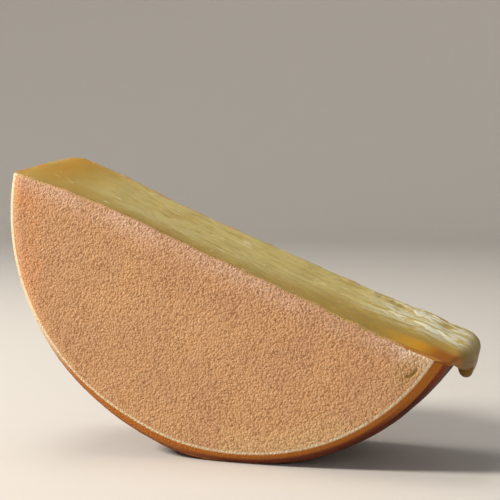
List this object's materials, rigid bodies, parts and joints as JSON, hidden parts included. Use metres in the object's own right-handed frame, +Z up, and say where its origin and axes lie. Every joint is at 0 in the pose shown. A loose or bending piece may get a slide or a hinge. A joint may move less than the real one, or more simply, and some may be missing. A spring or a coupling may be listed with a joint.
{
  "type": "raclette half wheel",
  "caption": "Half wheel of washed-rind raclette cheese with a melted cut face and a tongue of melt over the low end, leaning on a small flat spot",
  "frame": {"origin": "on the ground, midway between the two ends and midway between the two round faces", "axes": "+X along the length towards the low end, +Y through the thickness from the shown round face to the far one, +Z up"},
  "size_m": [0.199, 0.061, 0.1267],
  "materials": {
    "rind": "dry, pimpled washed rind, peach to tan with a pale bloom",
    "melted_paste": "melted and set cheese paste, straw yellow with an oily gloss"
  },
  "bodies": {
    "root": {"raclette_half_wheel": "rind"}
  },
  "joints": []
}
